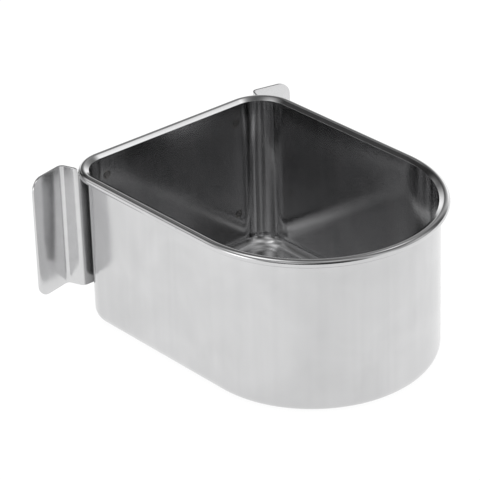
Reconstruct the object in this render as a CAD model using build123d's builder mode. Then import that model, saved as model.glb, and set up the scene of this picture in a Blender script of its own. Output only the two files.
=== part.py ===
from build123d import *
import os
from math import cos, radians, sin, sqrt, tan

os.makedirs("parts", exist_ok=True)

# Seed cup that hangs on the wires of a cage: a deep D-shaped cup drawn from one sheet of stainless
# steel, its mouth rolled outward into a hollow bead, with a bent sheet clip welded to each back corner.
# The origin is on the base, half-way between the flat back and the front of the round end.
# +X runs along the flat back, -Y to the round front and +Z up.

# Cup wall, outside sizes
cup_width = 90.6
side_length = 78.0
cup_height = 62.2
corner_radius = 12.0
base_radius = 5.6
sheet = 0.6

# Rolled rim, outside radius of the roll, angles turned from the upright wall
bead_overhang = 3.3
bead_radius = 1.6
flare_angle = 60.0
curl_end_angle = 265.0
hollow_flats = 3

# Clips, plan points on the middle of the sheet, depths measured back from the cup's back face, drops
# measured down to the flange from the rim and to the tab from the bead
clip_sheet = 0.8
clip_bend_radius = 2.0
tab_end_x = 25.5
ridge_x = 43.6
valley_x = 46.2
valley_depth = 6.9
flange_end_x = 61.8
flange_end_depth = 3.5
clip_bottom = 12.1
flange_drop = 2.0
tab_drop = 2.0
flange_corner_radius = 5.0
tab_corner_radius = 4.0
notch_radius = 1.0

# Spot welds between the clips and the back wall, sunk a little below both faces
weld_radius = 1.9
weld_x = 31.0
weld_inset = 3.3
weld_dent = 0.12

# Clearance of the clip beside the bead
bead_clearance = 0.4

# Places that follow from the sizes above
side_x = cup_width / 2
cup_depth = side_length + side_x
back_y = cup_depth / 2
front_centre_y = back_y - side_length
flare_turn = radians(flare_angle)
flare_end_x = bead_overhang - bead_radius * (1 + cos(flare_turn))
flare_end_z = cup_height - bead_radius * (1 - sin(flare_turn))
flare_start_z = flare_end_z - (flare_end_x + sheet) / tan(flare_turn)
bead_corner_x = side_x - corner_radius + sqrt((corner_radius + bead_overhang) ** 2 - corner_radius**2)
notch_x = bead_corner_x + bead_clearance
clip_top = cup_height - flange_drop
tab_top = cup_height - 2 * bead_radius - tab_drop
tab_y = back_y + clip_sheet / 2
flange_slope = (flange_end_depth - valley_depth) / (flange_end_x - valley_x)
back_plane = Plane.XZ.offset(-back_y)
weld_reach = 3 * sheet
weld_places = [(x, z) for x in (-weld_x, weld_x) for z in (clip_bottom + weld_inset, tab_top - weld_inset)]


# The outside of the wall in plan: flat back, rounded corners, straight sides and a half-round front
with BuildLine() as wall_path:
    back = Line((0, back_y), (side_x - corner_radius, back_y))
    corner = JernArc(back @ 1, back % 1, corner_radius, -90)
    side = Line(corner @ 1, (side_x, front_centre_y))
    front = JernArc(side @ 1, side % 1, side_x, -180)
    far_side = Line(front @ 1, (-side_x, back_y - corner_radius))
    far_corner = JernArc(far_side @ 1, far_side % 1, corner_radius, -90)
    Line(far_corner @ 1, back @ 0)

# Drawn cup: one section of the sheet, from the floor's edge up the wall, out along the flare and round
# the roll, is carried once round the wall's path, and the flat floor closes it. The hollow side of the
# roll, which nothing shows, is drawn in flats.
with BuildPart() as cup_shell:
    with BuildSketch(Plane(origin=back @ 0, x_dir=(0, 1, 0), z_dir=(1, 0, 0))) as wall_section:
        with BuildLine():
            outer_heel = JernArc((-base_radius, 0), (1, 0), base_radius, 90)
            outer_wall = Line(outer_heel @ 1, (0, flare_start_z - sheet * tan(flare_turn / 2)))
            inner_heel = JernArc((-base_radius, sheet), (1, 0), base_radius - sheet, 90)
            inner_wall = Line(inner_heel @ 1, (-sheet, flare_start_z))
            flare = Line(inner_wall @ 1, (flare_end_x, flare_end_z))
            roll = JernArc(flare @ 1, flare % 1, bead_radius, flare_angle - curl_end_angle)
            stations = [i / hollow_flats for i in range(hollow_flats + 1)]
            hollow = [roll @ t + (roll % t).rotate(Axis.Z, -90) * sheet for t in stations]
            Polyline(outer_wall @ 1, *hollow)
            Line(outer_heel @ 0, inner_heel @ 0)
            Line(roll @ 1, hollow[-1])
        make_face()
    sweep(path=wall_path.wires()[0])
    with BuildSketch():
        make_face(wall_path.edges())
        offset(amount=-base_radius, mode=Mode.REPLACE)
    extrude(amount=sheet)
    with BuildSketch(back_plane):
        with Locations(*weld_places):
            Circle(weld_radius)
    extrude(amount=weld_reach, mode=Mode.SUBTRACT)
cup_shell.part.label = "cup_shell"
export_step(cup_shell.part, "parts/cup_shell.step")

# Right clip: a strip bent like a Z in plan. The tab lies on the back wall, the strip steps back past the
# corner and the flange runs outward, leaning forward so that it grips the wires in front of it.
# The bent strip is made over size and cut to the outline of the flat blank, whose tab stops below the
# bead while the step and flange stand beside it.
with BuildPart() as clip_right:
    with BuildSketch():
        with BuildLine() as strip:
            Polyline(
                (tab_end_x - clip_sheet, tab_y),
                (ridge_x, tab_y),
                (valley_x, back_y + valley_depth),
                (flange_end_x + clip_sheet, back_y + flange_end_depth + flange_slope * clip_sheet),
            )
            fillet(strip.vertices().sort_by(Axis.X)[1:3], radius=clip_bend_radius)
        trace(line_width=clip_sheet)
    extrude(amount=cup_height)
    with BuildSketch(back_plane) as blank:
        with BuildLine():
            Polyline(
                (tab_end_x, clip_bottom),
                (flange_end_x, clip_bottom),
                (flange_end_x, clip_top),
                (notch_x, clip_top),
                (notch_x, tab_top),
                (tab_end_x, tab_top),
                close=True,
            )
        make_face()
        fillet(blank.vertices().group_by(Axis.X)[1], radius=notch_radius)
        fillet(blank.vertices().group_by(Axis.X)[0], radius=tab_corner_radius)
        fillet(blank.vertices().group_by(Axis.X)[-1], radius=flange_corner_radius)
        with Locations(*weld_places):
            Circle(weld_radius, mode=Mode.SUBTRACT)
    extrude(amount=cup_depth / 2, both=True, mode=Mode.INTERSECT)
clip_right.part.label = "clip_right"
export_step(clip_right.part, "parts/clip_right.step")

# Left clip: the right one mirrored
with BuildPart() as clip_left:
    mirror(clip_right.part, about=Plane.YZ)
clip_left.part.label = "clip_left"
export_step(clip_left.part, "parts/clip_left.step")

# Spot welds: four round nuggets of fused metal through both sheets, each end left as a shallow dent
with BuildPart() as spot_welds:
    with BuildSketch(back_plane.offset(weld_dent - clip_sheet)):
        with Locations(*weld_places):
            Circle(weld_radius)
    extrude(amount=clip_sheet - weld_dent + weld_reach)
    with BuildSketch():
        make_face(wall_path.edges())
        offset(amount=weld_dent - sheet, mode=Mode.REPLACE)
    extrude(amount=cup_height, mode=Mode.SUBTRACT)
spot_welds.part.label = "spot_welds"
export_step(spot_welds.part, "parts/spot_welds.step")
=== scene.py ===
from math import cos, pi, radians, sin, tan

import bpy
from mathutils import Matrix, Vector


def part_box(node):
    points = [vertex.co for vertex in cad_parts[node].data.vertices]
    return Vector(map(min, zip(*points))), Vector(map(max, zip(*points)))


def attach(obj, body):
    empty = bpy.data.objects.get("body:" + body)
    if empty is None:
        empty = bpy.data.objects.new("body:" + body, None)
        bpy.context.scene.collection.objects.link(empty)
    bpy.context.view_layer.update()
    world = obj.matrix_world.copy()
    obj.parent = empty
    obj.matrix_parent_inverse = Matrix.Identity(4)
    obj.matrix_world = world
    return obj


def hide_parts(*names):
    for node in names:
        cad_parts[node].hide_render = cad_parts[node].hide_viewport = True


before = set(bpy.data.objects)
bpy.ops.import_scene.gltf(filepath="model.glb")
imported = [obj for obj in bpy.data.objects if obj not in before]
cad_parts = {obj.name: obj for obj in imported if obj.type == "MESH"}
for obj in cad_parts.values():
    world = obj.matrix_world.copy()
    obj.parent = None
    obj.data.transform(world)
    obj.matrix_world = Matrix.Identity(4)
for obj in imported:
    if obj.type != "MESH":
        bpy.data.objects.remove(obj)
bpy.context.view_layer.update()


# Cup
# Deep D-shaped cup drawn from one sheet of stainless steel and polished, with faint upright draw lines.
# Its mouth flares outward and is rolled into a bead, so that the cut edge lies hidden under the rim.
MM = 0.001
cup_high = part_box("cup_shell")[1]
bead_overhang = 3.3 * MM
flare_turn = radians(60)
roll_end_turn = radians(265)
roll_corners = 4
cup_sizes = {
    "Half Width": cup_high.x - bead_overhang,
    "Half Depth": cup_high.y - bead_overhang,
    "Height": cup_high.z,
    "Corner Radius": 12.0 * MM,
    "Base Radius": 5.6 * MM,
    "Sheet": 0.6 * MM,
    "Flare Bend": 0.1 * MM,
    "Bead Overhang": bead_overhang,
    "Bead Radius": 1.6 * MM,
}


class Wire:
    """A socket of a node tree. Sums on it add Math nodes, and add() puts in any other node.
    A setting named choices gives an index switch so many inputs."""

    def __init__(self, tree, socket=None):
        self.tree = tree
        self.socket = socket

    def feed(self, node, sockets):
        for key, value in sockets.items():
            for part in value if isinstance(value, list) else [value]:
                if isinstance(part, Wire):
                    self.tree.links.new(part.socket, node.inputs[key])
                else:
                    node.inputs[key].default_value = part

    def add(self, kind, settings=None, sockets=None, out=0):
        node = self.tree.nodes.new(kind)
        for name, value in (settings or {}).items():
            if name == "choices":
                while len(node.index_switch_items) < value:
                    node.index_switch_items.new()
            else:
                setattr(node, name, value)
        self.feed(node, sockets or {})
        return Wire(self.tree, node.outputs[out])

    def math(self, operation, *values):
        return self.add("ShaderNodeMath", {"operation": operation}, dict(enumerate(values)))

    def __add__(self, other):
        return self.math("ADD", self, other)

    def __sub__(self, other):
        return self.math("SUBTRACT", self, other)

    def __rsub__(self, other):
        return self.math("SUBTRACT", other, self)

    def __mul__(self, other):
        return self.math("MULTIPLY", self, other)

    def __truediv__(self, other):
        return self.math("DIVIDE", self, other)

    def __gt__(self, other):
        return self.math("GREATER_THAN", self, other)

    def __neg__(self):
        return self.math("MULTIPLY", self, -1)

    def clamped(self):
        return self.math("MINIMUM", self.math("MAXIMUM", self, 0), 1)

    __radd__ = __add__
    __rmul__ = __mul__


def size_tree(name, sizes):
    """A Geometry Nodes tree with one named input for each size, and the wires that bring them in."""
    tree = bpy.data.node_groups.new(name, "GeometryNodeTree")
    tree.interface.new_socket("Mesh", in_out="OUTPUT", socket_type="NodeSocketGeometry")
    for label in sizes:
        tree.interface.new_socket(label, in_out="INPUT", socket_type="NodeSocketFloat")
    entry = tree.nodes.new("NodeGroupInput")
    return Wire(tree), [Wire(tree, socket) for socket in entry.outputs[: len(sizes)]]


def bent_line(wire, corners, steps, closed=False):
    """A line through corners given as (x, y, radius), each corner an arc of so many steps."""
    index = wire.add("GeometryNodeInputIndex")
    spots = [wire.add("ShaderNodeCombineXYZ", {}, {0: x, 1: y}) for x, y, radius in corners]
    place, bend = [
        wire.add(
            "GeometryNodeIndexSwitch",
            {"data_type": kind, "choices": len(corners)},
            {0: index} | {i + 1: value for i, value in enumerate(values)},
        )
        for kind, values in [("VECTOR", spots), ("FLOAT", [radius for x, y, radius in corners])]
    ]
    points = {"Count": len(corners), "Position": place, "Radius": bend}
    points = wire.add("GeometryNodePoints", {}, points)
    line = wire.add("GeometryNodePointsToCurves", {}, {"Points": points, "Weight": index})
    line = wire.add("GeometryNodeSetSplineCyclic", {}, {"Geometry": line, "Cyclic": closed})
    arcs = {"Curve": line, "Count": steps, "Radius": wire.add("GeometryNodeInputRadius")}
    line = wire.add("GeometryNodeFilletCurve", {"mode": "POLY"}, arcs | {"Limit Radius": True})
    return wire.add("GeometryNodeSetCurveRadius", {}, {"Curve": line, "Radius": 1.0})


def grown(name, wire, sizes, shape, material, finish):
    """A plain mesh object from a tree, with its sizes set and its finishing modifiers applied."""
    shape = wire.add("GeometryNodeRealizeInstances", {}, {"Geometry": shape})
    shape = wire.add("GeometryNodeSetMaterial", {}, {"Geometry": shape, "Material": material})
    wire.feed(wire.tree.nodes.new("NodeGroupOutput"), {0: shape})
    raw = bpy.data.objects.new(name + "_raw", bpy.data.meshes.new(name + "_raw"))
    bpy.context.scene.collection.objects.link(raw)
    nodes = raw.modifiers.new("Shape", "NODES")
    nodes.node_group = wire.tree
    for item in wire.tree.interface.items_tree:
        if item.in_out == "INPUT":
            nodes[item.identifier] = sizes[item.name]
    for kind, settings in finish:
        modifier = raw.modifiers.new(kind.title(), kind)
        for setting, value in settings.items():
            setattr(modifier, setting, value)
    evaluated = raw.evaluated_get(bpy.context.evaluated_depsgraph_get())
    mesh = bpy.data.meshes.new_from_object(evaluated)
    mesh.name = name
    mesh.shade_smooth()
    mesh.set_sharp_from_angle(angle=radians(35))
    bpy.data.objects.remove(raw)
    piece = bpy.data.objects.new(name, mesh)
    bpy.context.scene.collection.objects.link(piece)
    return piece


def new_material(name):
    """A material, its shader node, and a wire to build its other nodes on."""
    material = bpy.data.materials.new(name)
    material.use_nodes = True
    return material, material.node_tree.nodes["Principled BSDF"], Wire(material.node_tree)


def blend(wire, share, first, second):
    """The colour that lies between two colours."""
    return wire.add("ShaderNodeMix", {"data_type": "RGBA"}, {0: share, 6: first, 7: second}, 2)


drawn_steel, shader, steel = new_material("drawn_steel")
place = steel.add("ShaderNodeTexCoord", out="Object")
draw_stretch = (1, 1, 0.03)
upright = steel.add("ShaderNodeVectorMath", {"operation": "MULTIPLY"}, {0: place, 1: draw_stretch})
streaks = steel.add("ShaderNodeTexNoise", {}, {"Vector": upright, "Scale": 320.0, "Detail": 4.0})
cloudy = {"Vector": place, "Scale": 42.0, "Detail": 3.0, "Distortion": 0.6}
clouds = steel.add("ShaderNodeTexNoise", {}, cloudy)
marks = {"Vector": place, "Scale": 85.0, "Randomness": 1.0}
mark_distance = steel.add("ShaderNodeTexVoronoi", {}, marks)
mark_choice = steel.add("ShaderNodeTexVoronoi", {}, marks, 1)
mark_choice = steel.add("ShaderNodeSeparateColor", {}, {0: mark_choice})
speck_core, speck_fade, speck_rarity = 1.6, 40, 0.8
speck = (speck_core - mark_distance * speck_fade).clamped() * (mark_choice > speck_rarity)
shade = 0.55 + 0.5 * (clouds - 0.5) + 0.16 * (streaks - 0.5)
dull_steel, bright_steel, dark_speck = (0.45, 0.45, 0.455, 1), (0.75, 0.75, 0.755, 1), (0.1, 0.1, 0.1, 1)
polish = blend(steel, shade.clamped(), dull_steel, bright_steel)
polish = blend(steel, 0.4 * speck, polish, dark_speck)
waves = steel.add("ShaderNodeTexNoise", {}, {"Vector": place, "Scale": 45.0, "Detail": 0.5})
level = steel.add("ShaderNodeSeparateXYZ", {}, {0: place}, 2)
rim_foot, rim_fade = 57.0 * MM, 3.0 * MM
below_rim = ((rim_foot - level) / rim_fade).clamped()
wavy = {"Strength": 0.25, "Distance": 0.1 * MM, "Height": waves}
looks = {
    "Metallic": 1.0,
    "Base Color": polish,
    "Roughness": 0.07 + 0.035 * below_rim + 0.05 * streaks + 0.06 * clouds * clouds,
    "Normal": steel.add("ShaderNodeBump", {}, wavy),
}
steel.feed(shader, looks)

wire, (half_width, half_depth, height, corner, base, sheet, flare_bend, overhang, bead) = size_tree(
    "drawn_cup", cup_sizes
)
# The round front is two corner arcs, a hair short of meeting
round_share = 0.999
front = half_width * round_share
rail_corners = [
    (half_width, -half_depth, front),
    (half_width, half_depth, corner),
    (-half_width, half_depth, corner),
    (-half_width, -half_depth, front),
]
rail = bent_line(wire, rail_corners, steps=48, closed=True)

roll_x = overhang - bead
roll_z = height - bead
flare_run = roll_x - bead * cos(flare_turn) + sheet
flare_start = roll_z + bead * sin(flare_turn) - flare_run / tan(flare_turn)
turn_step = (roll_end_turn - flare_turn) / roll_corners
section = [(-base, sheet, 0.0), (-sheet, sheet, base - sheet), (-sheet, flare_start, flare_bend)]
for i in range(roll_corners):
    turn = flare_turn + (i + 0.5) * turn_step
    reach = bead / cos(turn_step / 2)
    section.append((roll_x - reach * cos(turn), roll_z + reach * sin(turn), bead))
section.append((roll_x - bead * cos(roll_end_turn), roll_z + bead * sin(roll_end_turn), 0.0))
profile = bent_line(wire, [(x, -z, radius) for x, z, radius in section], steps=10)
wall = wire.add("GeometryNodeCurveToMesh", {}, {"Curve": rail, "Profile Curve": profile})

outward = wire.add("GeometryNodeInputNormal")
inset = wire.add("ShaderNodeVectorMath", {"operation": "SCALE"}, {"Vector": outward, "Scale": -base})
floor_edge = wire.add("GeometryNodeSetPosition", {}, {"Geometry": rail, "Offset": inset})
cup_floor = wire.add("GeometryNodeFillCurve", {"mode": "NGONS"}, {"Curve": floor_edge})
lift = wire.add("ShaderNodeCombineXYZ", {}, {2: sheet})
cup_floor = wire.add("GeometryNodeSetPosition", {}, {"Geometry": cup_floor, "Offset": lift})
cup_sheet = wire.add("GeometryNodeJoinGeometry", {}, {0: [wall, cup_floor]})
seam = 0.002 * MM
cup_sheet = wire.add("GeometryNodeMergeByDistance", {}, {"Geometry": cup_sheet, "Distance": seam})
thicken = {"thickness": cup_sizes["Sheet"], "offset": -1.0, "use_even_offset": True}
cup = grown("cup", wire, cup_sizes, cup_sheet, drawn_steel, [("SOLIDIFY", thicken)])
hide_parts("cup_shell")
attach(cup, "root")


# Clips
# Two strips of bent stainless sheet, one welded to each back corner of the cup. The tab lies on the back
# wall, the strip steps back past the corner, and the flange stands behind the wires of the cage.
clip_low, clip_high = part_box("clip_right")
clip_sheet = 0.8 * MM
# How far the cut edge of the leaning flange reaches past the middle of its sheet
edge_reach = 0.09 * MM
clip_sizes = {
    "Side": 1.0,
    "Tab End": clip_low.x,
    "Tab Depth": clip_low.y + clip_sheet / 2,
    "Ridge": 43.6 * MM,
    "Valley": 46.2 * MM,
    "Valley Depth": 68.54 * MM,
    "Flange End": clip_high.x - edge_reach,
    "Flange End Depth": 65.15 * MM,
    "Bend Radius": 2.0 * MM,
    "Bottom": clip_low.z,
    "Top": clip_high.z,
    "Tab Top": 57.0 * MM,
    "Notch": 43.19 * MM,
    "Notch Radius": 1.0 * MM,
    "Tab Corner": 4.0 * MM,
    "Flange Corner": 5.0 * MM,
}


def corner_rise(wire, distance, radius):
    """How far a corner of this radius climbs at some distance before its end."""
    inside = (1 - distance / radius).clamped()
    return radius * (1 - wire.math("SQRT", 1 - inside * inside))


bent_steel, shader, steel = new_material("bent_steel")
place = steel.add("ShaderNodeTexCoord", out="Object")
grain = steel.add("ShaderNodeTexNoise", {}, {"Vector": place, "Scale": 300.0, "Detail": 3.0})
across, depth = [steel.add("ShaderNodeSeparateXYZ", {}, {0: place}, axis) for axis in range(2)]
# Painted shade: the face of the tab that lies against the cup is darkened, fading out towards the step,
# to stand in for the shade in the wedge between the tab and the cup's rounded back corner.
crevice_mouth, crevice_depth = 45.0 * MM, 6.0 * MM
inward = (crevice_mouth - steel.math("ABSOLUTE", across)) / crevice_depth
painted_crevice_shade = inward.clamped() * (1 - (depth > clip_sizes["Tab Depth"]))
dark_grain, light_grain, painted_shade_black = (0.62, 0.62, 0.625, 1), (0.7, 0.7, 0.705, 1), (0.1, 0.1, 0.1, 1)
rolled = blend(steel, grain, dark_grain, light_grain)
looks = {
    "Metallic": 1.0,
    "Base Color": blend(steel, 0.8 * painted_crevice_shade, rolled, painted_shade_black),
    "Roughness": 0.16 + 0.08 * grain,
}
steel.feed(shader, looks)

thicken = {"thickness": clip_sheet, "offset": 0.0, "use_even_offset": True}
soften = {"width": 0.12 * MM, "segments": 2, "angle_limit": radians(60)}
for node, side in [("clip_left", -1.0), ("clip_right", 1.0)]:
    sizes = clip_sizes | {"Side": side}
    wire, size = size_tree(node, sizes)
    size = dict(zip(sizes, size))
    plan = [
        (size["Tab End"], size["Tab Depth"], 0.0),
        (size["Ridge"], size["Tab Depth"], size["Bend Radius"]),
        (size["Valley"], size["Valley Depth"], size["Bend Radius"]),
        (size["Flange End"], size["Flange End Depth"], 0.0),
    ]
    strip = bent_line(wire, plan, steps=16)
    short_steps = {"Curve": strip, "Length": 0.2 * MM}
    strip = wire.add("GeometryNodeResampleCurve", {"mode": "LENGTH"}, short_steps)
    upright = wire.add("GeometryNodeCurvePrimitiveLine", {}, {"Start": (0, 0, 0), "End": (0, -1, 0)})
    strip = wire.add("GeometryNodeCurveToMesh", {}, {"Curve": strip, "Profile Curve": upright})
    place = wire.add("GeometryNodeInputPosition")
    x, y, climb = [wire.add("ShaderNodeSeparateXYZ", {}, {0: place}, axis) for axis in range(3)]
    end_rise = corner_rise(wire, x - size["Tab End"], size["Tab Corner"])
    end_rise = end_rise + corner_rise(wire, size["Flange End"] - x, size["Flange Corner"])
    past_notch = x > size["Notch"]
    beside_notch = corner_rise(wire, wire.math("ABSOLUTE", x - size["Notch"]), size["Notch Radius"])
    top = size["Tab Top"] + past_notch * (size["Top"] - size["Tab Top"])
    top = top + beside_notch * (1 - 2 * past_notch) - end_rise
    bottom = size["Bottom"] + end_rise
    z = bottom + (top - bottom) * climb
    spot = wire.add("ShaderNodeCombineXYZ", {}, {0: x * size["Side"], 1: y, 2: z})
    strip = wire.add("GeometryNodeSetPosition", {}, {"Geometry": strip, "Position": spot})
    finish = [("SOLIDIFY", thicken), ("BEVEL", soften)]
    clip = grown(node + "_strip", wire, sizes, strip, bent_steel, finish)
    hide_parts(node)
    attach(clip, "root")


# Spot welds
# Four nuggets of fused steel that hold the clips' tabs to the back wall. Each shows on the inside of the
# cup and on the back of the tab as a shallow dished disc with a low lip, a little heat-tinted.
weld_sizes = {
    "Spread X": 62.0 * MM,
    "Spread Z": 38.3 * MM,
    "Middle Z": 34.55 * MM,
    "Back": clip_low.y,
    "Wall Sheet": 0.6 * MM,
    "Tab Sheet": clip_sheet,
    "Radius": 1.9 * MM,
    "Lip": 0.12 * MM,
}

weld_steel, shader, steel = new_material("weld_steel")
place = steel.add("ShaderNodeTexCoord", out="Object")
across, level = [steel.add("ShaderNodeSeparateXYZ", {}, {0: place}, axis) for axis in (0, 2)]
beside = steel.math("ABSOLUTE", across) - weld_sizes["Spread X"] / 2
above = steel.math("ABSOLUTE", level - weld_sizes["Middle Z"]) - weld_sizes["Spread Z"] / 2
from_centre = steel.math("SQRT", beside * beside + above * above) / weld_sizes["Radius"]
tint = (2 * from_centre - 1).clamped()
mottle = steel.add("ShaderNodeTexNoise", {}, {"Vector": place, "Scale": 900.0, "Detail": 2.0})
dark_fused, light_fused, straw = (0.34, 0.335, 0.33, 1), (0.54, 0.53, 0.52, 1), (0.4, 0.36, 0.3, 1)
fused = blend(steel, mottle, dark_fused, light_fused)
looks = {
    "Metallic": 1.0,
    "Base Color": blend(steel, 0.5 * tint, fused, straw),
    "Roughness": 0.1 + 0.12 * mottle,
}
steel.feed(shader, looks)

wire, (spread_x, spread_z, middle_z, back, wall_sheet, tab_sheet, radius, lip) = size_tree(
    "welds", weld_sizes
)
# Shares of the radius, and the rise there as a share of the lip
dished = [(0.0, 0.1), (0.45, 0.15), (0.62, 1.0), (0.8, 0.25), (1.0, -0.6)]
half = []
for sheet, way in [(wall_sheet, 1), (tab_sheet, -1)]:
    half.append([(share, way * (sheet + lip * rise)) for share, rise in dished])
outline = half[0] + half[1][::-1]
rounding = 0.08
disc = [(radius * share - radius, -z, radius * rounding) for share, z in outline]
disc = bent_line(wire, disc, steps=4)
ring = wire.add("GeometryNodeCurvePrimitiveCircle", {}, {"Resolution": 48, "Radius": radius})
nugget = wire.add("GeometryNodeCurveToMesh", {}, {"Curve": ring, "Profile Curve": disc})
nugget = wire.add("GeometryNodeMergeByDistance", {}, {"Geometry": nugget, "Distance": seam})
spread = {"Size X": spread_x, "Size Y": spread_z, "Vertices X": 2, "Vertices Y": 2}
places = wire.add("GeometryNodeMeshGrid", {}, spread)
nuggets = wire.add("GeometryNodeInstanceOnPoints", {}, {"Points": places, "Instance": nugget})
centre = wire.add("ShaderNodeCombineXYZ", {}, {1: back, 2: middle_z})
stand = {"Geometry": nuggets, "Translation": centre, "Rotation": (pi / 2, 0, 0)}
nuggets = wire.add("GeometryNodeTransform", {}, stand)
welds = grown("welds", wire, weld_sizes, nuggets, weld_steel, [])
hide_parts("spot_welds")
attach(welds, "root")


# Studio
# White paper floor in a dim room, with soft pale cards stood and hung round the cup for its metal to
# mirror, and one soft lamp above the camera's side that casts the shadow.
paper, _, wire = new_material("paper")
by_eye = wire.add("ShaderNodeLightPath", out="Is Camera Ray")
by_metal = wire.add("ShaderNodeLightPath", out="Is Glossy Ray")
spot = wire.add("ShaderNodeTexCoord", out="Object")
spot = wire.add("ShaderNodeVectorMath", {"operation": "NORMALIZE"}, {0: spot})
# Painted shadow: the metal sees the paper a little darker towards the front
white, painted_front_shadow, dip_tightness, dip_turn = 1.06, 0.1, 12, radians(236)
to_front = (cos(dip_turn), sin(dip_turn), 0)
frontness = wire.add("ShaderNodeVectorMath", {"operation": "DOT_PRODUCT"}, {0: spot, 1: to_front}, 1)
glow = white - painted_front_shadow * by_metal * wire.math("EXPONENT", dip_tightness * (frontness - 1))
paper_glow = wire.add("ShaderNodeEmission", {}, {"Color": glow})
pale_grey = (0.8, 0.8, 0.8, 1)
paper_matte = wire.add("ShaderNodeBsdfDiffuse", {}, {"Color": pale_grey})
glow_share = 0.88
share = glow_share * wire.math("MAXIMUM", by_eye, by_metal)
paper_look = wire.add("ShaderNodeMixShader", {}, {0: share, 1: paper_matte, 2: paper_glow})
wire.feed(paper.node_tree.nodes["Material Output"], {"Surface": paper_look})
floor_mesh = bpy.data.meshes.new("floor")
floor_reach, floor_level = 6.0, -0.05 * MM
square = [(-1, -1), (1, -1), (1, 1), (-1, 1)]
floor_corners = [(x * floor_reach, y * floor_reach, floor_level) for x, y in square]
floor_mesh.from_pydata(floor_corners, [], [(0, 1, 2, 3)])
floor_mesh.materials.append(paper)
floor = bpy.data.objects.new("floor", floor_mesh)
bpy.context.scene.collection.objects.link(floor)

studio = bpy.data.worlds.new("studio")
bpy.context.scene.world = studio
studio.use_nodes = True
wire = Wire(studio.node_tree)
way = wire.add("ShaderNodeTexCoord", out="Generated")
room, plain_light = 0.02, 1.25
wide, medium, narrow = 25, 100, 400
# Each card: turn from +X and climb in degrees, strength, tightness
cards = [
    (354, 58, 1.15, medium),
    (0, 63, 0.25, wide),
    (344, 48, 0.2, wide),
    (324, 18, 0.75, wide),
    (24, 4, 1.35, wide),
    (46, 5, 0.6, wide),
    (26, 33, 0.3, wide),
    (49, 48, 0.2, wide),
    (130, 22, 0.9, wide),
    (154, 63, 2.0, wide),
    (168, 4, 2.6, wide),
    (206, 33, 0.75, wide),
    (257, 63, 0.75, wide),
    (283, 33, 0.65, wide),
    (288, 4, 1.0, wide),
    (68, 6, 1.2, medium),
    (75, 13, 0.65, medium),
    (84, 25, 0.5, narrow),
    (79, 45, 0.6, narrow),
]
for turn, climb, strength, tightness in cards:
    turn, climb = radians(turn), radians(climb)
    axis = (cos(turn) * cos(climb), sin(turn) * cos(climb), sin(climb))
    nearness = wire.add("ShaderNodeVectorMath", {"operation": "DOT_PRODUCT"}, {0: way, 1: axis}, 1)
    room = room + strength * wire.math("EXPONENT", tightness * (nearness - 1))
by_metal = wire.add("ShaderNodeLightPath", out="Is Glossy Ray")
brightness = by_metal * room + (1 - by_metal) * plain_light
wire.feed(studio.node_tree.nodes["Background"], {"Color": (1, 1, 1, 1), "Strength": brightness})


def aim(thing, target):
    """Turn a lamp or a camera so that it looks at a point."""
    thing.rotation_euler = (target - thing.location).to_track_quat("-Z", "Y").to_euler()


middle = Vector((-0.00994, 0.01174, 0.03779))
lamp_data = bpy.data.lights.new("softbox", "AREA")
lamp_data.size = 0.9
lamp_data.energy = 1.0
lamp = bpy.data.objects.new("softbox", lamp_data)
lamp.location = (-0.35, -0.5, 1.1)
aim(lamp, middle)
lamp.visible_glossy = False
bpy.context.scene.collection.objects.link(lamp)

camera_data = bpy.data.cameras.new("camera")
camera_data.sensor_width = 36.0
camera_data.lens = 209.7
camera = bpy.data.objects.new("camera", camera_data)
camera.location = (-0.57991, -0.67212, 0.50607)
aim(camera, middle)
camera_roll = radians(-1.873)
camera.rotation_euler.rotate_axis("Z", camera_roll)
bpy.context.scene.collection.objects.link(camera)
bpy.context.scene.camera = camera
bpy.context.scene.view_settings.view_transform = "Standard"
